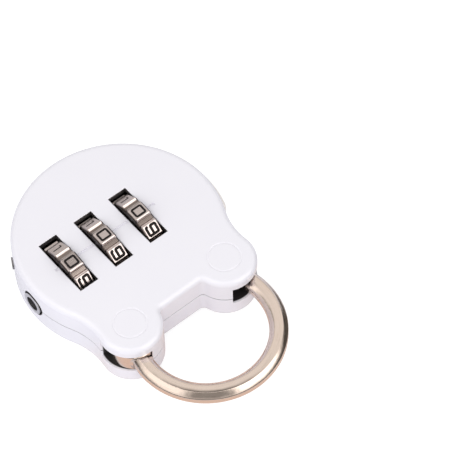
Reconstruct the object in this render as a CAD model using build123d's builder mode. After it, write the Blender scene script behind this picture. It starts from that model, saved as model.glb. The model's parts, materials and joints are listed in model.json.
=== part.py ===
"""Luggage combination padlock: a round two-part case with three dials, a side button and a ring shackle.

Millimetres. It lies on its back: +Z is out of the front face, +Y points away from the shackle and +X
points to the button. Z = 0 is the lowest rim of the dials, and X = Y = 0 is the middle of the whole lock.
Places inside the lock are counted from the middle of the round body, on the seam between the covers.
"""

import math
import os

from build123d import *

# ---- Case ----
body_radius = 17.4
case_thickness = 9.1
ear_x = 9.5  # middle of an ear, sideways
ear_drop = 14.8  # middle of an ear, below the middle of the body
ear_radius = 5.2
waist_radius = 11.5  # hollow blend between the body and an ear
notch_drop = 15.6  # flat floor between the ears
notch_round = 0.9
edge_round = 1.0  # rounding around each outer face
seam_bevel = 0.12  # each cover's share of the groove along the seam
face_wall = 1.1  # cover thickness over the dials and hubs
rim_wall = 2.0
ear_ring_radius = 2.65  # shallow round groove on each ear
ear_ring_bar = 0.3
ear_ring_depth = 0.07

# ---- Dials ----
dial_count = 3
dial_pitch = 7.0
dial_middle_x = -2.95
dial_y = 0.35
dial_width = 3.1
digit_count = 10
pad_distance = 6.0  # flat digit pads, from the dial's axis
pad_width = 2.7
groove_distance = 5.8  # floor of the grooves between the pads
groove_width = 0.6
dial_bevel = 0.3
click_turn = 3.0  # degrees past the top where a digit clicks in
left_dial_turn = 10.0  # this dial stands between two clicks
window_side_gap = 0.16
window_length = 10.9
window_bevel = 0.15
index_width = 0.5
index_depth = 0.25
index_left_reach = 0.8  # past the left window
index_right_reach = 1.7  # past the right window

# ---- Clutch hubs and reset spindle ----
running_gap = 0.05  # radial, shaft in bore
end_gap = 0.05  # axial, between pieces in the stack
clear_gap = 0.3  # between pieces that must never meet
hub_left_reach = 0.55  # hub past the left side of its dial
gate_gap = 0.15  # dial to gate flange
bearing_gap = 0.2  # last gate flange, at its reset end, to the right bearing
bearing_step = 0.15  # last hub past the right bearing
shaft_radius = 1.0
sleeve_radius = 1.7
journal_radius = 2.2
tooth_root_radius = 2.65
tooth_pitch_radius = 2.75
tooth_radius = 0.4
mesh_gap = 0.1  # round the drive teeth
tooth_engagement = 0.8
gate_radius = 3.15
gate_thickness = 0.8
gate_width = 2.0
reset_travel = 1.0
spindle_head_radius = 1.95
spindle_head_length = 1.85
spindle_head_proud = 0.15  # past the rim
spindle_socket_radius = 1.3
spindle_socket_depth = 0.8
head_bore_radius = 2.2
left_bearing_length = 1.2
spindle_end_reach = 0.55  # past the clip
clip_thickness = 0.4
clip_radius = 1.95
clip_groove_radius = 0.8
clip_mouth_width = 1.44

# ---- Release button ----
button_y = -0.55
button_length = 12.0
button_height = 5.9
button_gap = 0.1
button_corner = 1.2
button_edge_round = 0.7
button_proud = 0.6
button_travel = 1.2
flange_margin = 0.6  # flange beyond the button, endways
flange_half_height = 3.3
flange_thickness = 1.0
rim_web = 1.7  # least wall outside the button's flange
pilot_radius = 0.85
pilot_length = 1.2

# ---- Latch bolt ----
bolt_half_height = 0.9
bolt_width = 1.6
bolt_gap = 0.2
finger_width = 0.5
finger_tip_radius = 2.6
finger_gap = 0.15  # pressed finger to the gate flange, at its reset end
arm_width = 1.6
tooth_height = 1.1
tooth_gap = 0.2  # tip of the latch tooth to the tongue
arm_gap = 0.1  # tongue to the arm when the tooth is home

# ---- Shackle ----
ring_x = 0.15  # middle of the ring, sideways
ring_drop = 21.65  # middle of the ring, below the middle of the body
ring_radius = 11.35  # to the middle of the bar
bar_width = 3.0
bar_height = 2.8
bar_bevel = 0.85
bar_edge_round = 0.2
pivot_x = -10.1
pivot_drop = 16.15
eye_radius = 3.65
eye_height = 3.5
eye_bevel = 0.25
slot_above = 2.6  # upper face of the slot, above the seam
slot_below = 1.2  # lower face of the slot, below the seam
slot_gap = 0.45  # beside the tongue
eye_gap = 0.15  # round the eye
pin_radius = 1.2
pin_seat = 1.3  # depth of the pin in each cover, past the slot
tongue_x = 9.2
tongue_width = 2.4
tongue_top_drop = 10.2
latch_notch_drop = 11.9
latch_notch_height = 1.7
latch_notch_depth = 0.8
pivot_mouth = (149.0, 282.0)  # degrees about the pin, where the pivot ear is open
latch_mouth = (246.0, 340.0)  # degrees about the middle of the latch ear, where it is open
tongue_way = (-60.0, 20.0)  # degrees about the pin, where the tongue's way is cut
mouth_reach = 15.6  # how far a mouth is cut, past every edge of the case

# ---- Springs, pins and detent ----
spring_gap = 0.12
spindle_wire = 0.22
spindle_spring_turns = 3
button_spring_radius = 1.25
button_wire = 0.35
button_spring_turns = 4
latch_spring_radius = 0.55
latch_wire = 0.22
latch_spring_turns = 5
latch_spring_length = 3.0
detent_thickness = 0.25
detent_half_height = 3.3
detent_bump_radius = 0.3
detent_gap = 0.12  # bump to pads
case_pin_radius = 0.9
case_pin_places = ((-7.5, 10.6), (7.5, 10.6), (-1.5, -11.8))
post_radius = 2.2
seat_gap = 0.02  # radial, pressed pins
blind_gap = 0.15
rim_pin_radius = 1.0
rim_pin_length = 1.65
rim_pin_proud = 0.25  # past the rim
rim_pin_angle = 151.0

# ---- Sizes that follow ----
case_half = case_thickness / 2
cavity_half = case_half - face_wall
slot_height = slot_above + slot_below
slot_middle = (slot_above - slot_below) / 2
slot_clearance_half = bolt_half_height + bolt_gap

pad_corner_radius = math.hypot(pad_distance, pad_width / 2)
pad_corner_angle = math.degrees(math.atan2(pad_width / 2, pad_distance))
lowest_pad = pad_corner_radius * math.cos(math.radians(pad_corner_angle - left_dial_turn))

case_x = (spindle_head_proud - button_proud) / 2
case_y = (ring_drop + ring_radius + bar_width / 2 - body_radius) / 2
mid_z = lowest_pad

dial_places = [dial_middle_x + (number - 1) * dial_pitch for number in range(dial_count)]
dial_turns = [left_dial_turn, click_turn, click_turn]
dial_names = ["left", "middle", "right"]
window_width = dial_width + 2 * window_side_gap
pad_angle = 360 / digit_count

# Along X, each hub is counted from the middle of its dial.
hub_left = -dial_width / 2 - hub_left_reach
hub_tooth_left = dial_width / 2 - tooth_engagement + end_gap
hub_gate_left = dial_width / 2 + gate_gap
hub_gate_right = hub_gate_left + gate_thickness
hub_right = hub_left + dial_pitch - end_gap
finger_left = hub_gate_right + reset_travel + button_travel + finger_gap

gallery_left = dial_places[0] + hub_left - end_gap
gallery_low = dial_y - pad_corner_radius - clear_gap
gallery_high = dial_y + pad_corner_radius + detent_gap + detent_bump_radius + detent_thickness + end_gap
bearing_left = dial_places[-1] + hub_gate_right + reset_travel + bearing_gap
bearing_right = dial_places[-1] + hub_right - bearing_step
bearing_half = finger_tip_radius - clear_gap

button_low = button_y - button_length / 2
bay_right = math.sqrt(body_radius**2 - button_low**2) - rim_web
flange_right = bay_right - end_gap
flange_left = flange_right - flange_thickness
bay_low = button_low - flange_margin - clear_gap
bay_left = bearing_right + clear_gap

bolt_high = gallery_low - end_gap
bolt_low = bolt_high - bolt_width
bolt_left = dial_places[0] + finger_left
runway_left = bolt_left - latch_spring_length
runway_low = bolt_low - bolt_gap

spring_y = dial_y + (bearing_half + pad_corner_radius) / 2  # line of the button spring

tongue_left = tongue_x - tongue_width / 2
tongue_right = tongue_x + tongue_width / 2
tongue_inner_reach = math.hypot(tongue_left - pivot_x, pivot_drop - ear_drop) - slot_gap
tongue_outer_reach = math.hypot(tongue_right - pivot_x, pivot_drop - tongue_top_drop) + slot_gap
tooth_tip = tongue_left - tooth_gap
arm_right = tooth_tip - latch_notch_depth - arm_gap
arm_left = arm_right - arm_width
tooth_low = -latch_notch_drop - tooth_height / 2

spindle_bearing_left = gallery_left - left_bearing_length
spindle_head_left = -body_radius - spindle_head_proud
spindle_head_right = spindle_head_left + spindle_head_length
clip_left = dial_places[-1] + hub_right + end_gap
clip_right = clip_left + clip_thickness
spindle_right = clip_right + spindle_end_reach


def level(height):
    """Flat plane at a height above the seam, centred on the round body."""
    return Plane(origin=(case_x, case_y, mid_z + height))


def station(x):
    """Upright plane across the dial axis, centred on it: local x is +Y and local y is +Z."""
    return Plane(origin=(case_x + x, case_y + dial_y, mid_z), x_dir=(0, 1, 0), z_dir=(1, 0, 0))


def block(low_x, high_x, low_y, high_y, mode=Mode.ADD):
    """Rectangle between two X and two Y places."""
    with Locations(((low_x + high_x) / 2, (low_y + high_y) / 2)):
        Rectangle(high_x - low_x, high_y - low_y, mode=mode)


def on_circle(centre, radius, angle):
    """Point on a circle, the angle in degrees from +X."""
    turn = math.radians(angle)
    return (centre[0] + radius * math.cos(turn), centre[1] + radius * math.sin(turn))


def sector(centre, inner, outer, angles):
    """Piece of a ring between two radii and two angles; an inner radius of 0 makes a slice."""
    start, end = angles
    with BuildSketch() as piece:
        with BuildLine():
            CenterArc(centre, outer, start, end - start)
            if inner > 0:
                CenterArc(centre, inner, start, end - start)
            Line(on_circle(centre, inner, start), on_circle(centre, outer, start))
            Line(on_circle(centre, inner, end), on_circle(centre, outer, end))
        make_face()
    return piece.sketch


def waist_centre():
    """Middle of the hollow arc that touches both the round body and the right ear."""
    spread = math.hypot(ear_x, ear_drop)
    to_body = body_radius + waist_radius
    to_ear = ear_radius + waist_radius
    along = (to_body**2 - to_ear**2 + spread**2) / (2 * spread)
    across = math.sqrt(to_body**2 - along**2)
    return (
        (ear_x * along + ear_drop * across) / spread,
        (ear_x * across - ear_drop * along) / spread,
    )


def case_outline():
    """Round body, hollow waist and two ears with a flat notch between them."""
    waist_x, waist_y = waist_centre()
    body_end = math.degrees(math.atan2(waist_y, waist_x))
    waist_start = body_end + 180
    waist_end = math.degrees(math.atan2(-ear_drop - waist_y, ear_x - waist_x)) % 360
    ear_start = waist_end - 180
    ear_end = math.degrees(math.asin((notch_drop - ear_drop) / ear_radius)) - 180
    notch_x = on_circle((ear_x, 0), ear_radius, ear_end)[0]
    with BuildSketch() as outline:
        with BuildLine() as line:
            CenterArc((0, 0), body_radius, 90, body_end - 90)
            CenterArc((waist_x, waist_y), waist_radius, waist_start, waist_end - waist_start)
            CenterArc((ear_x, -ear_drop), ear_radius, ear_start, ear_end - ear_start)
            mirror(line.line, about=Plane.YZ)
            Line((notch_x, -notch_drop), (-notch_x, -notch_drop))
        make_face()
        corners = outline.vertices().sort_by(lambda corner: abs(corner.Y + notch_drop))
        fillet(corners[:2], notch_round)
    return outline.sketch


def gallery_room():
    """Room for the dials, the hubs, the button's flange and its spring."""
    with BuildPart() as room:
        with BuildSketch(level(0)):
            block(gallery_left, bay_right, gallery_low, gallery_high)
            block(bay_left, bay_right, bay_low, gallery_high)
            block(bearing_left, bearing_right, dial_y - bearing_half, gallery_high, Mode.SUBTRACT)
        extrude(amount=cavity_half)
    return room.part


def window_room():
    """One window for each dial, and the index line that runs between them."""
    with BuildPart() as room:
        with BuildSketch(level(case_half)):
            block(
                dial_places[0] - window_width / 2 - index_left_reach,
                dial_places[-1] + window_width / 2 + index_right_reach,
                dial_y - index_width / 2,
                dial_y + index_width / 2,
            )
        extrude(amount=-index_depth)
        with BuildSketch(level(0)):
            with Locations([(x, dial_y) for x in dial_places]):
                Rectangle(window_width, window_length)
        extrude(amount=case_half)
        with BuildSketch(level(case_half - window_bevel)):
            with Locations([(x, dial_y) for x in dial_places]):
                Rectangle(window_width, window_length)
        extrude(amount=window_bevel, taper=-45)
    return room.part


def spindle_room():
    """Bore for the spindle's head, and the bearings of the spindle and the last hub."""
    with BuildPart() as room:
        with BuildSketch(station(-body_radius)):
            Circle(head_bore_radius)
        extrude(amount=spindle_bearing_left + body_radius)
        with BuildSketch(station(spindle_bearing_left)):
            Circle(sleeve_radius + running_gap)
        extrude(amount=bearing_right - spindle_bearing_left)
    return room.part


def button_room():
    """Close window for the button through the rim."""
    with BuildPart() as room:
        with BuildSketch(station(bay_right)):
            with Locations((button_y - dial_y, 0)):
                hole_length = button_length + 2 * button_gap
                hole_height = button_height + 2 * button_gap
                RectangleRounded(hole_length, hole_height, button_corner)
        extrude(amount=rim_web + rim_wall + button_proud)
    return room.part


def bolt_room():
    """Runway of the latch bolt and its arm, as deep as the bolt's thickness."""
    with BuildPart() as room:
        with BuildSketch(level(0)):
            block(runway_left, bay_right, runway_low, gallery_low)
            block(arm_left - button_travel - bolt_gap, tongue_left, tooth_low - bolt_gap, gallery_low)
        extrude(amount=slot_clearance_half)
    return room.part


def shackle_room(reach):
    """Slot of the eye with its mouth, and the way of the tongue with its mouth, as deep as a reach."""
    pin_place = (pivot_x, -pivot_drop)
    with BuildPart() as room:
        with BuildSketch(level(0)):
            with Locations(pin_place):
                Circle(eye_radius + eye_gap)
            add(sector(pin_place, 0, mouth_reach, pivot_mouth))
            add(sector(pin_place, tongue_inner_reach, tongue_outer_reach, tongue_way))
            add(sector((ear_x, -ear_drop), 0, mouth_reach, latch_mouth))
        extrude(amount=reach)
        with BuildSketch(level(0)):
            with Locations(pin_place):
                Circle(pin_radius + seat_gap)
        extrude(amount=reach + pin_seat + blind_gap)
    return room.part


def crown_room():
    """Hollow above the gallery, around the posts of the case pins, and the blind seats of those pins."""
    with BuildPart() as room:
        with BuildSketch(level(0)):
            Circle(body_radius - rim_wall)
            block(-body_radius, body_radius, -body_radius, gallery_high + rim_wall, Mode.SUBTRACT)
            with Locations(case_pin_places):
                Circle(post_radius, mode=Mode.SUBTRACT)
        extrude(amount=cavity_half)
        with BuildSketch(level(0)):
            with Locations(case_pin_places):
                Circle(case_pin_radius + seat_gap)
        extrude(amount=cavity_half)
    return room.part


def rim_pin_plane(proud):
    """Plane across the small rim pin, past the rim by a distance, looking outwards."""
    x, y = on_circle((case_x, case_y), body_radius + proud, rim_pin_angle)
    turn = math.radians(rim_pin_angle)
    return Plane(origin=(x, y, mid_z), z_dir=(math.cos(turn), math.sin(turn), 0))


def rim_pin_room():
    """Seat of the small rim pin."""
    with BuildPart() as room:
        with BuildSketch(rim_pin_plane(0)):
            Circle(rim_pin_radius + seat_gap)
        extrude(amount=rim_pin_proud - rim_pin_length - blind_gap)
    return room.part


def ear_ring_room():
    """Shallow round groove on the face of each ear."""
    with BuildPart() as room:
        with Locations(level(case_half + ear_ring_bar - ear_ring_depth)):
            with Locations((ear_x, -ear_drop), (-ear_x, -ear_drop)):
                Torus(ear_ring_radius, ear_ring_bar)
    return room.part


def spring_along_x(left, right, y, wire, radius, turns):
    """Round-wire compression spring between two X places, wound about a line at a Y place."""
    length = right - left - wire
    start = (case_x + left + wire / 2, case_y + y, mid_z)
    with BuildPart() as spring:
        with BuildLine() as path:
            Helix(length / turns, length, radius, center=start, direction=(1, 0, 0))
        with BuildSketch(Plane(origin=path.line @ 0, z_dir=path.line % 0)):
            Circle(wire / 2)
        sweep(is_frenet=True)
    return spring


def save(piece, name):
    """Label a finished piece and write it as a part of its own."""
    piece.part.label = name
    export_step(piece.part, f"parts/{name}.step")


os.makedirs("parts", exist_ok=True)

# ---- Covers ----
shared_rooms = [
    ear_ring_room(),
    gallery_room(),
    window_room(),
    spindle_room(),
    button_room(),
    bolt_room(),
    crown_room(),
    rim_pin_room(),
]


def make_cover(slot_reach):
    """Upper cover of the case, with a slot for the shackle that reaches a height above the seam."""
    with BuildPart() as cover:
        with BuildSketch(level(0)):
            add(case_outline())
        extrude(amount=case_half)
        fillet(cover.faces().sort_by(Axis.Z)[-1].outer_wire().edges(), edge_round)
        chamfer(cover.faces().sort_by(Axis.Z)[0].outer_wire().edges(), seam_bevel)
        for room in shared_rooms:
            add(room, mode=Mode.SUBTRACT)
        add(shackle_room(slot_reach), mode=Mode.SUBTRACT)
    return cover


save(make_cover(slot_above), "front_cover")

with BuildPart() as back_cover:
    mirror(make_cover(slot_below).part, about=level(0))
save(back_cover, "back_cover")


# ---- Dials and clutch hubs ----
def polar_point(distance, offset, angle):
    """Point at a distance along a direction and an offset to its left, the direction in degrees."""
    turn = math.radians(angle)
    return (
        distance * math.cos(turn) - offset * math.sin(turn),
        distance * math.sin(turn) + offset * math.cos(turn),
    )


def dial_outline(turn):
    """Flat digit pads with a groove between each two of them."""
    points = []
    for digit in range(digit_count):
        angle = 90 + turn + digit * pad_angle
        for side in (-0.5, 0.5):
            points.append(polar_point(pad_distance, side * pad_width, angle))
        for side in (-0.5, 0.5):
            points.append(polar_point(groove_distance, side * groove_width, angle + pad_angle / 2))
    with BuildSketch() as outline:
        Polygon(*points, align=None)
    return outline.sketch


def spline(gap, turn):
    """Round root with a ring of round drive teeth, wider by a gap all round."""
    with BuildSketch() as outline:
        Circle(tooth_root_radius + gap)
        with PolarLocations(tooth_pitch_radius, digit_count, start_angle=90 + turn):
            Circle(tooth_radius + gap)
    return outline.sketch


def make_dial(x, turn):
    """Number dial: padded rim, bore for the hub's journal and a toothed recess on the right."""
    with BuildPart() as dial:
        with BuildSketch(station(x - dial_width / 2)):
            add(dial_outline(turn))
        extrude(amount=dial_width)
        sides = dial.faces().filter_by(Axis.X).edges()
        chamfer(sides, dial_bevel)
        with BuildSketch(station(x - dial_width / 2)):
            Circle(journal_radius + running_gap)
        extrude(amount=dial_width, mode=Mode.SUBTRACT)
        with BuildSketch(station(x + dial_width / 2)):
            add(spline(mesh_gap, turn))
        extrude(amount=-tooth_engagement, mode=Mode.SUBTRACT)
    return dial


def make_hub(x, turn):
    """Clutch hub: journal in the dial, drive teeth, gate flange and two stacking sleeves."""
    with BuildPart() as hub:
        with BuildSketch(station(x + hub_left)):
            Circle(sleeve_radius)
        extrude(amount=hub_right - hub_left)
        with BuildSketch(station(x - dial_width / 2)):
            Circle(journal_radius)
        extrude(amount=hub_gate_left + dial_width / 2)
        with BuildSketch(station(x + hub_tooth_left)):
            add(spline(0, turn))
        extrude(amount=hub_gate_left - hub_tooth_left)
        with BuildSketch(station(x + hub_gate_left)):
            Circle(gate_radius)
            gate_turn = turn - click_turn
            gate = polar_point((gate_radius + finger_tip_radius - mesh_gap) / 2, 0, 180 + gate_turn)
            with Locations(Location(gate, gate_turn)):
                Rectangle(gate_radius - finger_tip_radius + mesh_gap, gate_width, mode=Mode.SUBTRACT)
        extrude(amount=gate_thickness)
        with BuildSketch(station(x + hub_left)):
            Circle(shaft_radius + running_gap)
        extrude(amount=hub_right - hub_left, mode=Mode.SUBTRACT)
    return hub


for name, x, turn in zip(dial_names, dial_places, dial_turns):
    save(make_dial(x, turn), f"dial_{name}")
    save(make_hub(x, turn), f"clutch_hub_{name}")

# ---- Reset spindle ----
with BuildPart() as reset_spindle:
    with BuildSketch(station(spindle_head_left)):
        Circle(spindle_head_radius)
    extrude(amount=spindle_head_length)
    with BuildSketch(station(spindle_head_left)):
        Circle(spindle_socket_radius)
    extrude(amount=spindle_socket_depth, mode=Mode.SUBTRACT)
    with BuildSketch(station(spindle_head_right)):
        Circle(sleeve_radius)
    extrude(amount=gallery_left - spindle_head_right)
    with BuildSketch(station(gallery_left)):
        Circle(shaft_radius)
    extrude(amount=spindle_right - gallery_left)
    with BuildSketch(station(clip_left)):
        Circle(shaft_radius)
        Circle(clip_groove_radius, mode=Mode.SUBTRACT)
    extrude(amount=clip_thickness, mode=Mode.SUBTRACT)
save(reset_spindle, "reset_spindle")

with BuildPart() as spindle_clip:
    with BuildSketch(station(clip_left)):
        Circle(clip_radius)
        Circle(clip_groove_radius + seat_gap, mode=Mode.SUBTRACT)
        with Locations((0, -clip_radius)):
            Rectangle(clip_mouth_width, 2 * clip_radius, mode=Mode.SUBTRACT)
    extrude(amount=clip_thickness)
save(spindle_clip, "spindle_clip")

spindle_spring = spring_along_x(
    spindle_head_right,
    spindle_bearing_left,
    dial_y,
    spindle_wire,
    sleeve_radius + spring_gap + spindle_wire / 2,
    spindle_spring_turns,
)
save(spindle_spring, "spindle_spring")

# ---- Release button and latch bolt ----
with BuildPart() as release_button:
    with BuildSketch(station(flange_right)):
        with Locations((button_y - dial_y, 0)):
            RectangleRounded(button_length, button_height, button_corner - button_gap)
    extrude(amount=body_radius + button_proud)
    with BuildSketch(level(-button_height)):
        Circle(body_radius + button_proud)
    extrude(amount=2 * button_height, mode=Mode.INTERSECT)
    fillet(release_button.faces().sort_by(Axis.X)[-1].edges(), button_edge_round)
    with BuildSketch(station(flange_left)):
        with Locations((button_y - dial_y, 0)):
            Rectangle(button_length + 2 * flange_margin, 2 * flange_half_height)
    extrude(amount=flange_thickness)
    with BuildSketch(station(flange_left)):
        with Locations((spring_y - dial_y, 0)):
            Circle(pilot_radius)
    extrude(amount=-pilot_length)
save(release_button, "release_button")

with BuildPart() as latch_bolt:
    with BuildSketch(level(-bolt_half_height)):
        block(bolt_left, flange_left, bolt_low, bolt_high)
        block(arm_left, arm_right, tooth_low, bolt_high)
        block(arm_left, tooth_tip, tooth_low, tooth_low + tooth_height)
        for x in dial_places:
            block(x + finger_left, x + finger_left + finger_width, bolt_low, dial_y - finger_tip_radius)
    extrude(amount=2 * bolt_half_height)
save(latch_bolt, "latch_bolt")

button_spring = spring_along_x(
    bearing_right,
    flange_left,
    spring_y,
    button_wire,
    button_spring_radius,
    button_spring_turns,
)
save(button_spring, "button_spring")

latch_spring = spring_along_x(
    runway_left,
    bolt_left,
    (bolt_low + bolt_high) / 2,
    latch_wire,
    latch_spring_radius,
    latch_spring_turns,
)
save(latch_spring, "latch_spring")

# ---- Shackle ----
def bar_section():
    """Bar with bevelled corners, each edge softly rounded."""
    with BuildSketch() as section:
        Rectangle(bar_width, bar_height)
        chamfer(section.vertices(), bar_bevel)
        fillet(section.vertices(), bar_edge_round)
    return section.sketch


def tongue_section():
    """The same bar where it is narrowed to the tongue."""
    with BuildSketch() as section:
        Rectangle(tongue_width, bar_height)
        chamfer(section.vertices(), bar_bevel / 2)
        fillet(section.vertices(), bar_edge_round)
    return section.sketch


def upright(x, y, turn):
    """Upright plane at a place of the shackle, its local x turned by an angle from +X, its local y up."""
    angle = math.radians(turn)
    outward = (math.cos(angle), math.sin(angle), 0)
    origin = (case_x + x, case_y + y, mid_z + slot_middle)
    return Plane(origin=origin, x_dir=outward, z_dir=(outward[1], -outward[0], 0))


ring_middle = (ring_x, -ring_drop)
pivot_angle = math.degrees(math.atan2(ring_drop - pivot_drop, pivot_x - ring_x))
tongue_angle = math.degrees(math.atan2(ring_drop - ear_drop, tongue_x - ring_x))
ring_axis = Axis((case_x + ring_x, case_y - ring_drop, mid_z), (0, 0, 1))

with BuildPart() as shackle:
    with BuildSketch(upright(*on_circle(ring_middle, ring_radius, pivot_angle), pivot_angle)):
        add(bar_section())
    revolve(axis=ring_axis, revolution_arc=360 - pivot_angle + tongue_angle)
    with BuildSketch(upright(tongue_x, -tongue_top_drop, 0)):
        add(tongue_section())
    extrude(amount=ear_drop - tongue_top_drop + bar_width / 2)
    with BuildSketch(level(slot_middle - eye_height / 2)):
        with Locations((pivot_x, -pivot_drop)):
            Circle(eye_radius)
    extrude(amount=eye_height)
    eye_faces = shackle.faces().filter_by(Axis.Z).sort_by(Axis.Z)
    rims = ShapeList([eye_faces[0], eye_faces[-1]])
    chamfer(rims.edges(), eye_bevel)
    with BuildSketch(level(slot_middle - eye_height / 2)):
        with Locations((pivot_x, -pivot_drop)):
            Circle(pin_radius + running_gap)
    extrude(amount=eye_height, mode=Mode.SUBTRACT)
    with BuildSketch(level(slot_middle - bar_height / 2)):
        notch_low = -latch_notch_drop - latch_notch_height / 2
        block(tongue_left, tongue_left + latch_notch_depth, notch_low, notch_low + latch_notch_height)
    extrude(amount=bar_height, mode=Mode.SUBTRACT)
save(shackle, "shackle")

with BuildPart() as shackle_pin:
    with BuildSketch(level(-slot_below - pin_seat)):
        with Locations((pivot_x, -pivot_drop)):
            Circle(pin_radius)
    extrude(amount=slot_height + 2 * pin_seat)
save(shackle_pin, "shackle_pin")

# ---- Detent spring and pins ----
leaf_low = gallery_high - end_gap - detent_thickness
with BuildPart() as detent_spring:
    with BuildSketch(level(-detent_half_height)):
        block(gallery_left + end_gap, bearing_left - end_gap, leaf_low, gallery_high - end_gap)
    extrude(amount=2 * detent_half_height)
    for x in dial_places:
        with BuildSketch(station(x - dial_width / 2)):
            with Locations((leaf_low - dial_y, 0)):
                Circle(detent_bump_radius)
        extrude(amount=dial_width)
    with BuildSketch(station(gallery_left)):
        with Locations((gallery_high - dial_y, 0)):
            Rectangle(2 * end_gap, 2 * cavity_half)
    extrude(amount=bearing_left - gallery_left, mode=Mode.SUBTRACT)
save(detent_spring, "detent_spring")

with BuildPart() as case_pins:
    with BuildSketch(level(blind_gap - cavity_half)):
        with Locations(case_pin_places):
            Circle(case_pin_radius)
    extrude(amount=2 * (cavity_half - blind_gap))
save(case_pins, "case_pins")

with BuildPart() as rim_pin:
    with BuildSketch(rim_pin_plane(rim_pin_proud)):
        Circle(rim_pin_radius)
    extrude(amount=-rim_pin_length)
save(rim_pin, "rim_pin")
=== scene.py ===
"""Luggage padlock: materials, painted digits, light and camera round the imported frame.

Blender works in metres. Sizes here are named in millimetres and turned to metres with MM.
"""

import json
import math

import bmesh
import bpy
from mathutils import Matrix, Vector


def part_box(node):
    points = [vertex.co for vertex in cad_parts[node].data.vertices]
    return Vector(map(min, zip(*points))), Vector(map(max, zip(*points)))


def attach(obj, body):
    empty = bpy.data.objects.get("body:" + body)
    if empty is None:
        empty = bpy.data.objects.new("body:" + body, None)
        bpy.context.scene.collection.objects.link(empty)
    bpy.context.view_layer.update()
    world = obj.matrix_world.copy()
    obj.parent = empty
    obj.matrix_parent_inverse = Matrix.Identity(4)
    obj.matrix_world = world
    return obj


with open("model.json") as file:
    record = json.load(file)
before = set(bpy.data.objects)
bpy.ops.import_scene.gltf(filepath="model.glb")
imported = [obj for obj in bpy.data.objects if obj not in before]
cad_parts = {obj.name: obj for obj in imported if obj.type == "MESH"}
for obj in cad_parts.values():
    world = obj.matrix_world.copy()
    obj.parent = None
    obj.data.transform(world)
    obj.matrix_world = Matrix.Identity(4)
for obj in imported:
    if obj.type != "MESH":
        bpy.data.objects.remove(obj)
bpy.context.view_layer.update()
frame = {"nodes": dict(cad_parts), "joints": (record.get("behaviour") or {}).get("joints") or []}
MM = 0.001

# ---- Places taken from the frame ----
joints = {joint["name"]: joint for joint in frame["joints"]}
case_low, case_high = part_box("front_cover")
back_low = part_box("back_cover")[0]
ring_low, ring_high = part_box("shackle")
spindle_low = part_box("reset_spindle")[0]
pin_low, pin_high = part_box("rim_pin")
dial_low, dial_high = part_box("dial_middle")
dial_names = ("left", "middle", "right")
dial_axes = [Vector(joints[f"dial_{name}_spin"]["pos_m"]) for name in dial_names]
seam_z = (case_high.z + back_low.z) / 2

# ---- Sizes of the case, in millimetres ----
BODY_RADIUS = 17.4
CORE_RADIUS = 13.6  # the windows lie inside it, the rim outside
EAR_X = 9.5
EAR_DROP = 14.8
EAR_RADIUS = 5.2
SLOT_ABOVE = 2.6  # the shackle's slots, from the seam
SLOT_BELOW = 1.2
SPINDLE_HOLE_RADIUS = 2.3
SPINDLE_HOLE_END = -10.0  # from the middle of the body
RIM_PIN_SHADE_RADIUS = 1.03  # painted shade of the pin's hole, this near the middle of the rim pin
INDEX_LINE = 0.5  # width of the line between the windows

# ---- How far the enamel reaches, in millimetres; past it the recesses carry painted shade ----
WINDOW_PAINT = 0.12  # into a window
LINE_PAINT = 0.2  # further down, inside the index line
SLOT_SHADOW_INSET = 0.2  # into a slot; past it the slot floor carries a painted shadow
MARGIN = 0.1  # past an edge, so that the whole edge is covered

# ---- Sizes of the shackle and the spindle, in millimetres ----
RING_OUTER = 12.85
RING_MIDDLE = 11.35
BAR_CORNER = 2.0  # no place of the bar is further from its middle
BAR_ROUNDNESS = 0.45  # 0 leaves the facets flat, 1 shades them as a round bar
SOCKET_RADIUS = 1.3

# ---- Sizes of the dials, in millimetres ----
DIGIT_COUNT = 10
DIAL_TURNS = (10.0, 3.0, 3.0)  # degrees that each dial stands past the top
DIAL_WIDTH = (dial_high.x - dial_low.x) / MM
DIAL_BEVEL = 0.3
PAD_DISTANCE = 6.0
PAD_WIDTH = 2.7
PAD_EDGE = 0.3  # soft edge along each pad
PAD_EDGE_DROP = 0.17
GROOVE_DISTANCE = 5.8
GROOVE_EDGE = 0.08  # below the pads, where the painted shade of a groove starts
SIDE_EDGE = 0.05  # soft edge of the painted shadow on the sides
DIGIT_TALL = 2.2  # outer height, along the dial's axis
DIGIT_WIDE = 1.95
DIGIT_STROKE = 0.46
FINE_STROKES = {0: 0.36, 1: 0.22}  # the nought and the one are cut with a finer line
DIGIT_CORNER = 0.2
CORNER_POINTS = 6
PAINT_DEPTH = 0.02
PAINT_LIFT = 0.4  # share of its depth that the middle of the paint lies above the pad
RIBS_IN_GROOVE = 3
RIB_STEP = 2.1  # degrees between the fine ribs in a groove
RIB_WIDE = 0.09
RIB_TALL = 0.05

body_centre = Vector(((case_low.x + case_high.x) / 2, case_high.y - BODY_RADIUS * MM, seam_z))
ring_z = (ring_low.z + ring_high.z) / 2
ring_centre = Vector((ring_high.x - RING_OUTER * MM, ring_low.y + RING_OUTER * MM, ring_z))
spindle_end = Vector((spindle_low.x, dial_axes[0].y, dial_axes[0].z))
rim_pin_place = ((pin_low + pin_high) / 2 - body_centre) / MM


def dial_middle(name):
    """Middle of a dial: halfway along it, on its axis."""
    low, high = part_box(f"dial_{name}")
    axis = joints[f"dial_{name}_spin"]["pos_m"]
    return Vector(((low.x + high.x) / 2, axis[1], axis[2]))


# ---- Nodes ----
MATHS = "ShaderNodeMath"
VECTOR_MATHS = "ShaderNodeVectorMath"
SPLIT = "ShaderNodeSeparateXYZ"
JOIN = "ShaderNodeCombineXYZ"
NOISE = "ShaderNodeTexNoise"
RANGE = "ShaderNodeMapRange"
MIX = "ShaderNodeMix"
SMOOTH = {"interpolation_type": "SMOOTHSTEP"}
COLOUR = {"data_type": "RGBA"}
NUMBER = {"data_type": "FLOAT"}


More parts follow.
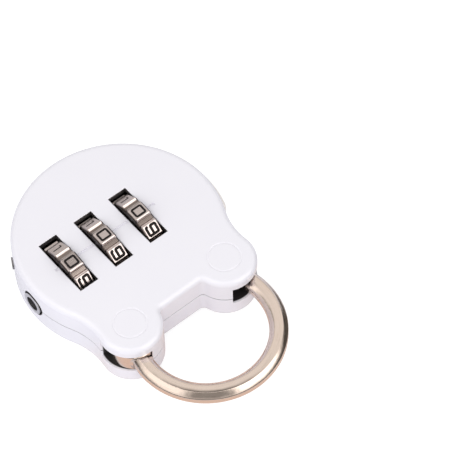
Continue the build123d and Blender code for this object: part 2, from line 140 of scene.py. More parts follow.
def linear(code):
    """Linear RGBA of an sRGB hex colour."""
    parts = [int(code[i : i + 2], 16) / 255 for i in (1, 3, 5)]
    return [p / 12.92 if p <= 0.04045 else ((p + 0.055) / 1.055) ** 2.4 for p in parts] + [1.0]


def node(tree, kind, inputs=(), **settings):
    """Adds a node with its settings and links.

    The inputs are a list in the node's own order, or a dict by name. A node given as an input stands for
    its first output, and a hex code for its colour.
    """
    made = tree.nodes.new(kind)
    for name, value in settings.items():
        setattr(made, name, value)
    sockets = [socket for socket in made.inputs if socket.enabled]
    if isinstance(inputs, dict):
        names = [socket.name for socket in sockets]
        pairs = [(sockets[names.index(name)], value) for name, value in inputs.items()]
    else:
        pairs = zip(sockets, inputs)
    for socket, value in pairs:
        if isinstance(value, bpy.types.Node):
            value = next(output for output in value.outputs if output.enabled)
        if isinstance(value, bpy.types.NodeSocket):
            tree.links.new(value, socket)
        else:
            socket.default_value = linear(value) if isinstance(value, str) else value
    return made


def centred(tree, centre):
    """Object coordinates in millimetres, counted from a place of the object."""
    place = node(tree, "ShaderNodeTexCoord").outputs["Object"]
    shifted = node(tree, VECTOR_MATHS, [place, centre], operation="SUBTRACT")
    return node(tree, VECTOR_MATHS, {"Vector": shifted, "Scale": 1 / MM}, operation="SCALE")


def new_material(name):
    """Empty material with its node tree."""
    material = bpy.data.materials.new(name)
    material.use_nodes = True
    material.node_tree.nodes.clear()
    return material, material.node_tree


def close_material(tree, height, depth, inputs):
    """Ends a material: one principled shader, its surface raised by a height times a depth in millimetres."""
    bump = node(tree, "ShaderNodeBump", {"Height": height, "Distance": depth * MM, "Strength": 1.0})
    shader = node(tree, "ShaderNodeBsdfPrincipled", {**inputs, "Normal": bump})
    node(tree, "ShaderNodeOutputMaterial", {"Surface": shader})


# ---- Materials ----
# The scale of each noise is one over the size of its features in millimetres.
def white_enamel():
    """Stoved gloss enamel on a zinc die casting.

    Sprayed from outside, it is thick, even and faintly orange-peeled on the faces and the rim, and reaches
    only a little way into the windows and slots. The unenamelled zinc inside the windows and holes carries a
    dark painted shade, the slot floors a near-black painted shadow, and a fine dark line of grime lies in the
    seam.
    """
    material, tree = new_material("stoved_white_enamel_on_zinc")
    place = centred(tree, body_centre)
    x, y, z = node(tree, SPLIT, [place]).outputs
    height = node(tree, MATHS, [z], operation="ABSOLUTE")
    flat = node(tree, VECTOR_MATHS, [place, (1, 1, 0)], operation="MULTIPLY")

    # Windows: unenamelled below the painted edge, which lies lower inside the index line; there the zinc
    # carries painted shade.
    half_thickness = (case_high.z - seam_z) / MM
    from_middle = node(tree, VECTOR_MATHS, [flat, (0, 0, 0)], operation="DISTANCE")
    core = node(tree, MATHS, [from_middle, CORE_RADIUS], operation="LESS_THAN")
    axis_y = (dial_axes[0].y - body_centre.y) / MM
    off_axis = node(tree, MATHS, [y, axis_y], operation="SUBTRACT")
    off_line = node(tree, MATHS, [off_axis], operation="ABSOLUTE")
    in_line = node(tree, MATHS, [off_line, INDEX_LINE / 2 + MARGIN], operation="LESS_THAN")
    edge_inputs = [in_line, -LINE_PAINT, half_thickness - WINDOW_PAINT]
    paint_edge = node(tree, MATHS, edge_inputs, operation="MULTIPLY_ADD")
    under_face = node(tree, MATHS, [height, paint_edge], operation="LESS_THAN")
    inside = node(tree, MATHS, [core, under_face], operation="MULTIPLY")

    # Slots of the shackle, one in each ear: past a thin enamelled edge, the floor carries a painted shadow.
    above = node(tree, MATHS, [z, -SLOT_BELOW - MARGIN], operation="GREATER_THAN")
    below = node(tree, MATHS, [z, SLOT_ABOVE + MARGIN], operation="LESS_THAN")
    in_slot = node(tree, MATHS, [above, below], operation="MULTIPLY")
    for side in (-1, 1):
        ear = (side * EAR_X, -EAR_DROP, 0)
        reach = node(tree, VECTOR_MATHS, [flat, ear], operation="DISTANCE")
        deep = node(tree, RANGE, [reach, EAR_RADIUS - SLOT_SHADOW_INSET, EAR_RADIUS - 2 * SLOT_SHADOW_INSET], **SMOOTH)
        slot_shadow = node(tree, MATHS, [deep, in_slot], operation="MULTIPLY")
        inside = node(tree, MATHS, [inside, slot_shadow], operation="MAXIMUM")

    # Holes of the spindle's end and of the rim pin, painted dark as shade.
    off_axis_squared = node(tree, MATHS, [off_axis, off_axis], operation="MULTIPLY")
    z_squared = node(tree, MATHS, [z, z], operation="MULTIPLY")
    squared = node(tree, MATHS, [off_axis_squared, z_squared], operation="ADD")
    near_axis = node(tree, MATHS, [squared, SPINDLE_HOLE_RADIUS**2], operation="LESS_THAN")
    at_rim = node(tree, MATHS, [x, SPINDLE_HOLE_END], operation="LESS_THAN")
    bore = node(tree, MATHS, [near_axis, at_rim], operation="MULTIPLY")
    inside = node(tree, MATHS, [inside, bore], operation="MAXIMUM")
    around_pin = node(tree, VECTOR_MATHS, [place, rim_pin_place], operation="DISTANCE")
    pin_hole = node(tree, MATHS, [around_pin, RIM_PIN_SHADE_RADIUS], operation="LESS_THAN")
    inside = node(tree, MATHS, [inside, pin_hole], operation="MAXIMUM")

    cloud = node(tree, NOISE, {"Vector": place, "Scale": 1 / 7.0, "Detail": 2.0})
    speck = node(tree, NOISE, {"Vector": place, "Scale": 1 / 0.45, "Detail": 4.0, "Roughness": 0.6})
    enamel = node(tree, MIX, [cloud, "#EFEDF4", "#F2F0F6"], **COLOUR)
    faint = node(tree, RANGE, [speck, 0.62, 0.8, 0.0, 0.2], **SMOOTH)
    enamel = node(tree, MIX, [faint, enamel, "#E6E4EA"], **COLOUR)
    grime = node(tree, RANGE, [height, 0.05, 0.13, 0.85, 0.0], **SMOOTH)
    enamel = node(tree, MIX, [grime, enamel, "#6E6C72"], **COLOUR)
    # Painted shade: near-black painted shadow on the slot floors, dark painted shade on the zinc of the
    # windows and holes.
    slot_painted_shadow = node(tree, MIX, [speck, "#141212", "#242121"], **COLOUR)
    window_painted_shade = node(tree, MIX, [speck, "#2C2929", "#464242"], **COLOUR)
    zinc = node(tree, MIX, [core, slot_painted_shadow, window_painted_shade], **COLOUR)
    colour = node(tree, MIX, [inside, enamel, zinc], **COLOUR)
    gloss = node(tree, RANGE, [cloud, 0.3, 0.7, 0.2, 0.27], **SMOOTH)
    roughness = node(tree, MIX, [inside, gloss, 0.6], **NUMBER)
    orange_peel = node(tree, NOISE, {"Vector": place, "Scale": 1 / 0.8, "Detail": 2.0})
    clear = {"IOR": 1.5, "Coat Weight": 0.3, "Coat Roughness": 0.1}
    close_material(tree, orange_peel, 0.012, {"Base Color": colour, "Roughness": roughness, **clear})
    return material


def polished_nickel():
    """Warm nickel plating on the steel shackle: polished along the bar, with fine streaks and dull clouds."""
    material, tree = new_material("polished_nickel_plate")
    place = centred(tree, ring_centre)
    x, y, z = node(tree, SPLIT, [place]).outputs
    radius = node(tree, VECTOR_MATHS, [place], operation="LENGTH")
    turn = node(tree, MATHS, [y, x], operation="ARCTAN2")
    along = node(tree, MATHS, [turn, 0.6], operation="MULTIPLY")
    drawn = node(tree, JOIN, [radius, along, z])
    lines = node(tree, NOISE, {"Vector": drawn, "Scale": 1 / 0.16, "Detail": 4.0, "Roughness": 0.6})
    cloud = node(tree, NOISE, {"Vector": place, "Scale": 1 / 2.2, "Detail": 3.0})
    colour = node(tree, MIX, [cloud, "#DCCBC0", "#E6D8CE"], **COLOUR)
    streaks = node(tree, RANGE, [lines, 0.55, 0.8, 0.0, 0.45], **SMOOTH)
    colour = node(tree, MIX, [streaks, colour, "#AE9C8E"], **COLOUR)
    dull = node(tree, RANGE, [cloud, 0.3, 0.7, 0.1, 0.17], **SMOOTH)
    scuffed = node(tree, RANGE, [lines, 0.4, 0.8, 0.0, 0.08], **SMOOTH)
    roughness = node(tree, MATHS, [dull, scuffed], operation="ADD")

    # Polishing has rounded the bar: every facet bulges as if part of one round section.
    flat = node(tree, VECTOR_MATHS, [place, (1, 1, 0)], operation="MULTIPLY")
    reach = node(tree, VECTOR_MATHS, [flat], operation="LENGTH")
    off_middle = node(tree, MATHS, [reach, RING_MIDDLE], operation="SUBTRACT")
    across_squared = node(tree, MATHS, [off_middle, off_middle], operation="MULTIPLY")
    z_squared = node(tree, MATHS, [z, z], operation="MULTIPLY")
    squared = node(tree, MATHS, [across_squared, z_squared], operation="ADD")
    distance = node(tree, MATHS, [squared], operation="SQRT")
    off_bar = node(tree, MATHS, [distance, BAR_CORNER], operation="MINIMUM")
    bulge = node(tree, MATHS, [off_bar, -BAR_ROUNDNESS], operation="MULTIPLY")
    wave = node(tree, NOISE, {"Vector": place, "Scale": 1 / 3.5, "Detail": 1.0})
    waves_and_lines = node(tree, MATHS, [lines, 0.05, wave], operation="MULTIPLY_ADD")
    uneven = node(tree, MATHS, [waves_and_lines, 0.08], operation="MULTIPLY")
    height = node(tree, MATHS, [bulge, uneven], operation="ADD")
    close_material(tree, height, 1.0, {"Base Color": colour, "Metallic": 1.0, "Roughness": roughness})
    return material


def satin_nickel_dial(name, middle, turn):
    """Rolled satin nickel: fine lines along the axis, worn edges on the pads, grooves painted darker as
    shade, and sides painted dark as shadow.
    """
    material, tree = new_material(f"rolled_satin_nickel_{name}")
    place = centred(tree, middle)
    x, y, z = node(tree, SPLIT, [place]).outputs
    y_squared = node(tree, MATHS, [y, y], operation="MULTIPLY")
    z_squared = node(tree, MATHS, [z, z], operation="MULTIPLY")
    squared = node(tree, MATHS, [y_squared, z_squared], operation="ADD")
    radius = node(tree, MATHS, [squared], operation="SQRT")
    minus_y = node(tree, MATHS, [y, -1.0], operation="MULTIPLY")
    about = node(tree, MATHS, [minus_y, z], operation="ARCTAN2")

    half_pitch = math.pi / DIGIT_COUNT
    past_top = node(tree, MATHS, [about, math.radians(turn)], operation="SUBTRACT")
    off_pad = node(tree, MATHS, [past_top, half_pitch, -half_pitch], operation="WRAP")
    sine = node(tree, MATHS, [off_pad], operation="SINE")
    sideways = node(tree, MATHS, [sine, radius], operation="MULTIPLY")
    across = node(tree, MATHS, [sideways], operation="ABSOLUTE")
    pad_level = node(tree, RANGE, [across, PAD_WIDTH / 2 - PAD_EDGE, PAD_WIDTH / 2, 1.0, 0.0], **SMOOTH)
    groove = node(tree, RANGE, [radius, PAD_DISTANCE - GROOVE_EDGE, GROOVE_DISTANCE], **SMOOTH)

    lengthwise = node(tree, MATHS, [x, 0.15], operation="MULTIPLY")
    round_dial = node(tree, MATHS, [about, PAD_DISTANCE], operation="MULTIPLY")
    rolled = node(tree, JOIN, [lengthwise, round_dial, radius])
    lines = node(tree, NOISE, {"Vector": rolled, "Scale": 1 / 0.14, "Detail": 3.0, "Roughness": 0.6})
    cloud = node(tree, NOISE, {"Vector": place, "Scale": 1 / 1.1, "Detail": 3.0})
    colour = node(tree, MIX, [cloud, "#C4B9B7", "#D2C8C5"], **COLOUR)
    drawn_lines = node(tree, RANGE, [lines, 0.5, 0.8, 0.0, 0.35], **SMOOTH)
    colour = node(tree, MIX, [drawn_lines, colour, "#9A8D8A"], **COLOUR)
    # Painted shade: the grooves between the pads are painted darker.
    colour = node(tree, MIX, [groove, colour, "#877C78"], **COLOUR)
    # Painted shadow: the dial's ends, deep in the window, are painted dark.
    off_middle = node(tree, MATHS, [x], operation="ABSOLUTE")
    half_width = DIAL_WIDTH / 2
    side = node(tree, RANGE, [off_middle, half_width - DIAL_BEVEL, half_width - SIDE_EDGE], **SMOOTH)
    colour = node(tree, MIX, [side, colour, "#3B3432"], **COLOUR)
    satin = node(tree, RANGE, [lines, 0.3, 0.7, 0.24, 0.34], **SMOOTH)
    groove_dullness = node(tree, MATHS, [groove, 0.08], operation="MULTIPLY")
    roughness = node(tree, MATHS, [satin, groove_dullness], operation="ADD")
    height = node(tree, MATHS, [lines, 0.04, pad_level], operation="MULTIPLY_ADD")
    finish = {"Base Color": colour, "Metallic": 1.0, "Roughness": roughness}
    close_material(tree, height, PAD_EDGE_DROP, finish)
    return material


def worked_metal(name, light, dark, rough, grain, stretch=(1, 1, 1)):
    """Plain metal with the grain that a lathe, a die or a press leaves, stretched as it was worked."""
    material, tree = new_material(name)
    place = centred(tree, body_centre)
    drawn = node(tree, VECTOR_MATHS, [place, stretch], operation="MULTIPLY")
    lines = node(tree, NOISE, {"Vector": drawn, "Scale": 1 / grain, "Detail": 4.0, "Roughness": 0.6})
    cloud = node(tree, NOISE, {"Vector": place, "Scale": 1 / 1.5, "Detail": 2.0})
    colour = node(tree, MIX, [lines, dark, light], **COLOUR)
    roughness = node(tree, RANGE, [cloud, 0.3, 0.7, rough - 0.06, rough + 0.06], **SMOOTH)
    close_material(tree, lines, 0.004, {"Base Color": colour, "Metallic": 1.0, "Roughness": roughness})
    return material


def spindle_steel():
    """Nickel-plated turned spindle: a bright faced end, and its socket painted dark as shade."""
    material, tree = new_material("turned_nickel_plated_spindle")
    place = centred(tree, spindle_end)
    x, y, z = node(tree, SPLIT, [place]).outputs
    flat = node(tree, JOIN, {"Y": y, "Z": z})
    radius = node(tree, VECTOR_MATHS, [flat], operation="LENGTH")
    # Painted shade: the socket in the spindle's end is painted dark.
    socket = node(tree, RANGE, [radius, SOCKET_RADIUS + 0.05, SOCKET_RADIUS - 0.1], **SMOOTH)
    below_end = node(tree, RANGE, [x, 0.0, 0.3], **SMOOTH)
    socket_shade = node(tree, MATHS, [socket, below_end], operation="MULTIPLY")
    along = node(tree, MATHS, [x, 0.3], operation="MULTIPLY")
    turned = node(tree, JOIN, {"X": radius, "Y": along})
    lines = node(tree, NOISE, {"Vector": turned, "Scale": 1 / 0.1, "Detail": 4.0, "Roughness": 0.6})
    colour = node(tree, MIX, [lines, "#B9B8BA", "#D2D1D3"], **COLOUR)
    colour = node(tree, MIX, [socket_shade, colour, "#3C393C"], **COLOUR)
    faced = node(tree, RANGE, [lines, 0.3, 0.7, 0.24, 0.34], **SMOOTH)
    shaded_socket_roughness = node(tree, MATHS, [socket_shade, 0.3], operation="MULTIPLY")
    roughness = node(tree, MATHS, [faced, shaded_socket_roughness], operation="ADD")
    close_material(tree, lines, 0.004, {"Base Color": colour, "Metallic": 1.0, "Roughness": roughness})
    return material


def moulded_button():
    """Glossy moulded ABS, a little warmer than the enamel, with the faint texture of its mould."""
    material, tree = new_material("moulded_white_abs")
    place = centred(tree, body_centre)
    cloud = node(tree, NOISE, {"Vector": place, "Scale": 1 / 3.0, "Detail": 2.0})
    texture = node(tree, NOISE, {"Vector": place, "Scale": 1 / 0.3, "Detail": 3.0})
    colour = node(tree, MIX, [cloud, "#F2ECE6", "#F6F1EC"], **COLOUR)
    roughness = node(tree, RANGE, [texture, 0.3, 0.7, 0.26, 0.34], **SMOOTH)
    close_material(tree, texture, 0.002, {"Base Color": colour, "Roughness": roughness, "IOR": 1.54})
    return material


def digit_paint():
    """Black lacquer wiped into the numerals: nearly flat, with a few thin places."""
    material, tree = new_material("black_numeral_lacquer")
    place = centred(tree, dial_axes[1])
    cloud = node(tree, NOISE, {"Vector": place, "Scale": 1 / 0.35, "Detail": 3.0})
    thin = node(tree, RANGE, [cloud, 0.45, 0.8], **SMOOTH)
    colour = node(tree, MIX, [thin, "#100A0B", "#1F1717"], **COLOUR)
    roughness = node(tree, RANGE, [cloud, 0.3, 0.7, 0.45, 0.6], **SMOOTH)
    lacquer = {"Base Color": colour, "Roughness": roughness, "Specular IOR Level": 0.3}
    close_material(tree, cloud, 0.003, lacquer)
    return material


def paint_parts():
    """Gives every carried-over part its material."""
    enamel = white_enamel()
    # Turned brass and steel show fine rings, drawn spring wire is dark and lined along its length, and the
    # rim pin's cut end is dull.
    brass = worked_metal("turned_brass", "#C9A35A", "#A5823F", 0.3, 0.1, (8, 1, 1))
    steel = worked_metal("turned_steel", "#A9A9AB", "#7F7F83", 0.32, 0.1, (1, 1, 8))
    spring = worked_metal("drawn_spring_wire", "#77777B", "#55555A", 0.3, 0.08, (1, 6, 6))
    finishes = {
        "front_cover": enamel,
        "back_cover": enamel,
        "shackle": polished_nickel(),
        "release_button": moulded_button(),
        "reset_spindle": spindle_steel(),
        "latch_bolt": steel,
        "shackle_pin": steel,
        "case_pins": steel,
        "rim_pin": worked_metal("dull_steel_pin", "#A3A1A3", "#7C7A7C", 0.35, 0.1),
        "detent_spring": spring,
        "spindle_spring": spring,
        "button_spring": spring,
        "latch_spring": spring,
        "spindle_clip": spring,
    }
    for name, turn in zip(dial_names, DIAL_TURNS):
        finishes[f"dial_{name}"] = satin_nickel_dial(name, dial_middle(name), turn)
        finishes[f"clutch_hub_{name}"] = brass
    for name, material in finishes.items():
        part = frame["nodes"][name]
        if not part.material_slots:
            part.data.materials.append(material)
        for place in part.material_slots:
            place.link = "OBJECT"
            place.material = material


# ---- Painted digits ----
# Strokes of each digit on a field from -1 to 1, wide then tall.
STROKES = {
    0: [[(-1, 0), (-1, 1), (1, 1), (1, -1), (-1, -1), (-1, 0)]],
    1: [[(-0.6, 0.62), (0.05, 1), (0.05, -1)]],
    2: [[(-1, 1), (1, 1), (1, 0), (-1, 0), (-1, -1), (1, -1)]],
    3: [[(-1, 1), (1, 1), (1, -1), (-1, -1)], [(-0.5, 0), (1, 0)]],
    4: [[(-1, 1), (-1, -0.1), (1, -0.1)], [(0.6, 1), (0.6, -1)]],
    5: [[(1, 1), (-1, 1), (-1, 0), (1, 0), (1, -1), (-1, -1)]],
    6: [[(0.9, 1), (-1, 1), (-1, -1), (1, -1), (1, 0.05), (-0.9, 0.05)]],
    7: [[(-1, 1), (1, 1), (1, 0.4), (-0.1, -1)]],
    8: [[(-1, 0), (-1, 1), (1, 1), (1, -1), (-1, -1), (-1, 0)], [(-0.9, 0), (0.9, 0)]],
    9: [[(-1, -0.55), (-1, -1), (1, -1), (1, 1), (-1, 1), (-1, -0.05), (0.9, -0.05)]],
}


def new_tree(name, inputs):
    """Geometry node tree with one geometry in, named number inputs and one geometry out."""
    tree = bpy.data.node_groups.new(name, "GeometryNodeTree")
    tree.interface.new_socket("Geometry", in_out="OUTPUT", socket_type="NodeSocketGeometry")
    tree.interface.new_socket("Geometry", in_out="INPUT", socket_type="NodeSocketGeometry")
    for label in inputs:
        tree.interface.new_socket(label, in_out="INPUT", socket_type="NodeSocketFloat")
    return tree, node(tree, "NodeGroupInput").outputs


def close_tree(tree, geometry, material):
    """Ends a tree: real geometry with one material."""
    whole = node(tree, "GeometryNodeRealizeInstances", [geometry])
    painted = node(tree, "GeometryNodeSetMaterial", {"Geometry": whole, "Material": material})
    node(tree, "NodeGroupOutput", [painted])


def evaluated(source, tree, values):
    """Plain mesh that a tree makes from an object; the object is removed."""
    modifier = source.modifiers.new(tree.name, "NODES")
    modifier.node_group = tree
    sockets = {item.name: item.identifier for item in tree.interface.items_tree if item.in_out == "INPUT"}
    for label, value in values.items():
        modifier[sockets[label]] = value
    bpy.context.scene.collection.objects.link(source)
    graph = bpy.context.evaluated_depsgraph_get()
    mesh = bpy.data.meshes.new_from_object(source.evaluated_get(graph), depsgraph=graph)
    data = source.data
    bpy.data.objects.remove(source)
    (bpy.data.curves if isinstance(data, bpy.types.Curve) else bpy.data.meshes).remove(data)
    return mesh


def piece(name, meshes, body):
    """One object made of several meshes, riding on a body."""
    joined = bpy.data.meshes.new(name)
    build = bmesh.new()
    for mesh, matrix in meshes:
        copy = mesh.copy()
        copy.transform(matrix)
        build.from_mesh(copy)
        bpy.data.meshes.remove(copy)
    build.to_mesh(joined)
    build.free()
    for material in meshes[0][0].materials:
        joined.materials.append(material)
    made = bpy.data.objects.new(name, joined)
    bpy.context.scene.collection.objects.link(made)
    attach(made, body)


def band_tree(paint):
    """Geometry nodes: a flat painted band along each stroke, its corners rounded."""
    tree, given = new_tree("numeral_band", ("Band width", "Paint depth", "Corner radius"))
    level = node(tree, "GeometryNodeSetCurveNormal", {"Curve": given["Geometry"]}, mode="Z_UP")
    corner = {"Curve": level, "Count": CORNER_POINTS, "Radius": given["Corner radius"], "Limit Radius": True}
    rounded = node(tree, "GeometryNodeFilletCurve", corner, mode="POLY")
    size = {"Width": given["Band width"], "Height": given["Paint depth"]}
    section = node(tree, "GeometryNodeCurvePrimitiveQuadrilateral", size)
    sweep = {"Curve": rounded, "Profile Curve": section, "Fill Caps": True}
    close_tree(tree, node(tree, "GeometryNodeCurveToMesh", sweep), paint)
    return tree


def numeral(digit, tree):
    """Flat mesh of one digit, centred, its top towards +Y."""
    band = FINE_STROKES.get(digit, DIGIT_STROKE)
    curve = bpy.data.curves.new(f"digit_{digit}", "CURVE")
    curve.dimensions = "3D"
    half_wide = (DIGIT_WIDE - DIGIT_STROKE) / 2 * MM
    half_tall = (DIGIT_TALL - DIGIT_STROKE) / 2 * MM
    for stroke in STROKES[digit]:
        ring = stroke[0] == stroke[-1]
        points = stroke[:-1] if ring else stroke
        spline = curve.splines.new("POLY")
        spline.points.add(len(points) - 1)
        for point, (across, up) in zip(spline.points, points):
            point.co = (across * half_wide, up * half_tall, 0, 1)
        spline.use_cyclic_u = ring
    sizes = {"Band width": band * MM, "Paint depth": PAINT_DEPTH * MM, "Corner radius": DIGIT_CORNER * MM}
    return evaluated(bpy.data.objects.new(curve.name, curve), tree, sizes)


def rib_tree(finish):
    """Geometry nodes: fine ribs on the floor of every groove, about the X axis."""
    labels = ("Groove distance", "Rib length", "Rib width", "Rib height", "Rib step", "First turn")
    tree, given = new_tree("groove_ribs", labels)
    size = node(tree, JOIN, [given["Rib length"], given["Rib width"], given["Rib height"]])
    bar = node(tree, "GeometryNodeMeshCube", {"Size": size})
    lift = node(tree, JOIN, {"Z": given["Groove distance"]})
    raised = node(tree, "GeometryNodeTransform", {"Geometry": bar, "Translation": lift})
    count = DIGIT_COUNT * RIBS_IN_GROOVE
    places = node(tree, "GeometryNodeMeshLine", {"Count": count, "Offset": (0, 0, 0)})
    index = node(tree, "GeometryNodeInputIndex")
    share = node(tree, MATHS, [index, RIBS_IN_GROOVE], operation="DIVIDE")
    groove = node(tree, MATHS, [share], operation="FLOOR")
    in_groove = node(tree, MATHS, [index, RIBS_IN_GROOVE], operation="MODULO")
    step = node(tree, MATHS, [in_groove, (RIBS_IN_GROOVE - 1) / 2], operation="SUBTRACT")
    turn = node(tree, MATHS, [groove, math.tau / DIGIT_COUNT, given["First turn"]], operation="MULTIPLY_ADD")
    turn = node(tree, MATHS, [step, given["Rib step"], turn], operation="MULTIPLY_ADD")
    spin = node(tree, "FunctionNodeAxisAngleToRotation", {"Axis": (1, 0, 0), "Angle": turn})
    copies = {"Points": places, "Instance": raised, "Rotation": spin}
    close_tree(tree, node(tree, "GeometryNodeInstanceOnPoints", copies), finish)
    return tree


def dress_dials():
    """Painted digits on the pads and fine ribs in the grooves of each dial."""
    bands = band_tree(digit_paint())
    digits = [numeral(digit, bands) for digit in range(DIGIT_COUNT)]
    # The ribs are rolled with the dial, and their darker, browner colour carries the groove's painted shade.
    ribs = rib_tree(worked_metal("rolled_groove_ribs", "#B3A8A2", "#857A74", 0.3, 0.12, (1, 6, 6)))
    sideways = Matrix.Rotation(math.radians(-90), 4, "Z")  # a digit's top points to +X
    lift = Matrix.Translation((0, 0, (PAD_DISTANCE + PAINT_DEPTH * PAINT_LIFT) * MM))
    for name, start in zip(dial_names, DIAL_TURNS):
        middle = dial_middle(name)
        placed = []
        for digit, mesh in enumerate(digits):
            turned = Matrix.Rotation(math.radians(start - digit * 360 / DIGIT_COUNT), 4, "X")
            placed.append((mesh, Matrix.Translation(middle) @ turned @ lift @ sideways))
        piece(f"digits_{name}", placed, f"dial_{name}")
        holder = bpy.data.meshes.new("rib_holder")
        sizes = {
            "Groove distance": GROOVE_DISTANCE * MM,
            "Rib length": (DIAL_WIDTH - 2 * DIAL_BEVEL) * MM,
            "Rib width": RIB_WIDE * MM,
            "Rib height": RIB_TALL * MM,
            "Rib step": math.radians(RIB_STEP),
            "First turn": math.radians(start + 180 / DIGIT_COUNT),
        }
        mesh = evaluated(bpy.data.objects.new("rib_holder", holder), ribs, sizes)
        piece(f"groove_ribs_{name}", [(mesh, Matrix.Translation(middle))], f"dial_{name}")


# ---- Studio ----
CAMERA_AZIMUTH = -38.215  # degrees: 0 is in front, at -Y, and 90 at +X
CAMERA_ELEVATION = 56.017
CAMERA_ROLL = -1.65
CAMERA_DISTANCE = 403.6
CAMERA_AIM = (15.125, 0.78)  # on the level of the seam
CAMERA_LENS = 200.0
CLIP_START = 10.0
LAMP_AZIMUTH = -48
LAMP_ELEVATION = 50
LAMP_DISTANCE = 500
LAMP_SIZE = (640, 360)
LAMP_POWER = 1.2  # watts
FLOOR_HALF = 3000.0
FLOOR_SHADE = 0.35  # how much of the shadow the camera sees
FLOOR_GLOW = 0.8
WARM_EDGE = (19.0, 24.0)  # from the middle of the ring: inside it the table looks warm in the polished bar
MIRRORED_EDGE = (23.0, 34.0)  # from the middle of the ring: past it the table looks dark in the polished bar
BODY_EDGE = (6.0, 10.0)  # from the middle of the ring towards the body: past it the table stays white
SKY_LEVEL = 0.74
CEILING_LEVEL = 0.97
HORIZON_LEVEL = 0.06
HORIZON_EDGE = (4.0, 26.0)  # degrees of elevation
# What polished metal sees of the room: azimuths, elevations and level of each panel, the later in front.
PANELS = (
    ((-120.0, 60.0), (8.0, 72.0), 1.45),  # wide white screen
    ((0.0, 52.0), (14.0, 62.0), 2.6),  # bright screen at the right
    ((-66.0, -8.0), (10.0, 58.0), 0.33),  # dark doorway at the left
    ((120.0, 190.0), (-14.0, 40.0), 0.75),  # grey wall behind
    ((-190.0, 190.0), (72.0, 100.0), 0.1),  # dark overhead
)
PANEL_EDGE = 20.0  # degrees over which a panel fades


def outward(azimuth, elevation):
    """Unit vector towards a place round the object, from its azimuth and elevation in degrees."""
    a, e = math.radians(azimuth), math.radians(elevation)
    return Vector((math.sin(a) * math.cos(e), -math.cos(a) * math.cos(e), math.sin(e)))


def make_camera():
    """Long lens, well back, as a small object is taken."""
    data = bpy.data.cameras.new("camera")
    data.lens = CAMERA_LENS
    data.clip_start = CLIP_START * MM
    camera = bpy.data.objects.new("camera", data)
    bpy.context.scene.collection.objects.link(camera)
    back = outward(CAMERA_AZIMUTH, CAMERA_ELEVATION)
    camera.rotation_mode = "QUATERNION"
    look = (-back).to_track_quat("-Z", "Y").to_matrix()
    roll = Matrix.Rotation(math.radians(CAMERA_ROLL), 3, "Z")
    camera.rotation_quaternion = (look @ roll).to_quaternion()
    camera.location = Vector((*CAMERA_AIM, seam_z / MM)) * MM + back * CAMERA_DISTANCE * MM
    bpy.context.scene.camera = camera


def make_lamp():
    """Large soft box that looks at the object; polished metal sees the room's panels in its place."""
    data = bpy.data.lights.new("left_box", "AREA")
    data.shape = "RECTANGLE"
    data.size, data.size_y = (side * MM for side in LAMP_SIZE)
    data.energy = LAMP_POWER
    lamp = bpy.data.objects.new("left_box", data)
    bpy.context.scene.collection.objects.link(lamp)
    back = outward(LAMP_AZIMUTH, LAMP_ELEVATION)
    lamp.location = back * LAMP_DISTANCE * MM
    lamp.visible_glossy = False
    lamp.rotation_mode = "QUATERNION"
    lamp.rotation_quaternion = (-back).to_track_quat("-Z", "Y")


def make_floor():
    """White table: pure white to the camera, with the object's soft shadow kept.

    Polished metal sees it warm under the ring and dark in front of it.
    """
    side = FLOOR_HALF * MM
    mesh = bpy.data.meshes.new("floor")
    corners = [(-side, -side, 0), (side, -side, 0), (side, side, 0), (-side, side, 0)]
    mesh.from_pydata(corners, [], [(0, 1, 2, 3)])
    floor = bpy.data.objects.new("floor", mesh)
    bpy.context.scene.collection.objects.link(floor)
    material, tree = new_material("white_table")
    mesh.materials.append(material)
    path = node(tree, "ShaderNodeLightPath").outputs
    place = centred(tree, ring_centre)
    away = node(tree, VECTOR_MATHS, [place], operation="LENGTH")
    y = node(tree, SPLIT, [place]).outputs["Y"]
    far = node(tree, RANGE, [away, *MIRRORED_EDGE], **SMOOTH)
    in_front = node(tree, RANGE, [y, *BODY_EDGE, 1.0, 0.0], **SMOOTH)
    beyond = node(tree, MATHS, [far, in_front], operation="MULTIPLY")
    dark = node(tree, MATHS, [beyond, path["Is Glossy Ray"]], operation="MULTIPLY")
    near = node(tree, RANGE, [away, *WARM_EDGE, 1.0, 0.0], **SMOOTH)
    warm = node(tree, MATHS, [near, path["Is Glossy Ray"]], operation="MULTIPLY")
    base = node(tree, MIX, [warm, "#E9E9F0", "#F3DDD0"], **COLOUR)
    shade = node(tree, MIX, [dark, base, "#5A5650"], **COLOUR)
    plain = node(tree, "ShaderNodeBsdfDiffuse", {"Color": shade})
    shaded = node(tree, "ShaderNodeBsdfDiffuse", {"Color": (FLOOR_SHADE, FLOOR_SHADE, FLOOR_SHADE, 1)})
    glow = node(tree, "ShaderNodeEmission", {"Strength": FLOOR_GLOW})
    bright = node(tree, "ShaderNodeAddShader", [shaded, glow])
    mixed = node(tree, "ShaderNodeMixShader", [path["Is Camera Ray"], plain, bright])
    node(tree, "ShaderNodeOutputMaterial", {"Surface": mixed})


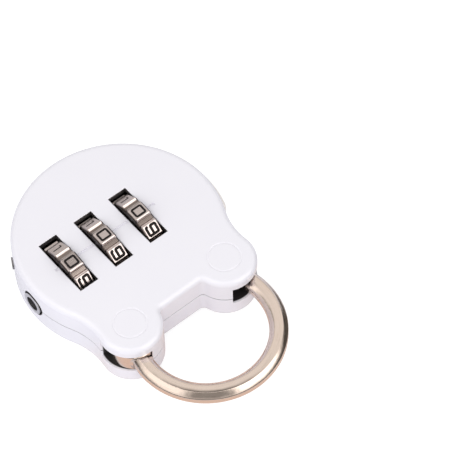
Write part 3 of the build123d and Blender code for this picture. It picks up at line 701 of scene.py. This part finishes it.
def panel_mask(tree, value, span):
    """1 inside a span of degrees, with soft ends."""
    low, high = span
    half = PANEL_EDGE / 2
    rise = node(tree, RANGE, [value, low - half, low + half], **SMOOTH)
    fall = node(tree, RANGE, [value, high - half, high + half, 1.0, 0.0], **SMOOTH)
    return node(tree, MATHS, [rise, fall], operation="MULTIPLY")


def make_world():
    """Even white room; polished metal sees its panels, with a dark horizon and a dark place overhead."""
    world = bpy.data.worlds.new("white_room")
    bpy.context.scene.world = world
    world.use_nodes = True
    tree = world.node_tree
    tree.nodes.clear()
    path = node(tree, "ShaderNodeLightPath").outputs
    direction = node(tree, "ShaderNodeTexCoord").outputs["Generated"]
    x, y, z = node(tree, SPLIT, [direction]).outputs
    rise = node(tree, MATHS, [z], operation="ARCSINE")
    elevation = node(tree, MATHS, [rise], operation="DEGREES")
    minus_y = node(tree, MATHS, [y, -1.0], operation="MULTIPLY")
    about = node(tree, MATHS, [x, minus_y], operation="ARCTAN2")
    azimuth = node(tree, MATHS, [about], operation="DEGREES")
    level = node(tree, RANGE, [elevation, *HORIZON_EDGE, HORIZON_LEVEL, CEILING_LEVEL], **SMOOTH)
    for azimuths, elevations, strength in PANELS:
        masks = [panel_mask(tree, azimuth, azimuths), panel_mask(tree, elevation, elevations)]
        mask = node(tree, MATHS, masks, operation="MULTIPLY")
        level = node(tree, MIX, [mask, level, strength], **NUMBER)
    mirrored = node(tree, "ShaderNodeBackground", {"Color": "#FFFBF6", "Strength": level})
    lit = node(tree, "ShaderNodeBackground", {"Color": "#FFFFFF", "Strength": SKY_LEVEL})
    seen = node(tree, "ShaderNodeBackground", {"Color": "#FFFFFF", "Strength": 1.0})
    first = node(tree, "ShaderNodeMixShader", [path["Is Glossy Ray"], lit, mirrored])
    last = node(tree, "ShaderNodeMixShader", [path["Is Camera Ray"], first, seen])
    node(tree, "ShaderNodeOutputWorld", {"Surface": last})


paint_parts()
dress_dials()
make_world()
make_floor()
make_lamp()
make_camera()
bpy.context.scene.view_settings.view_transform = "Standard"
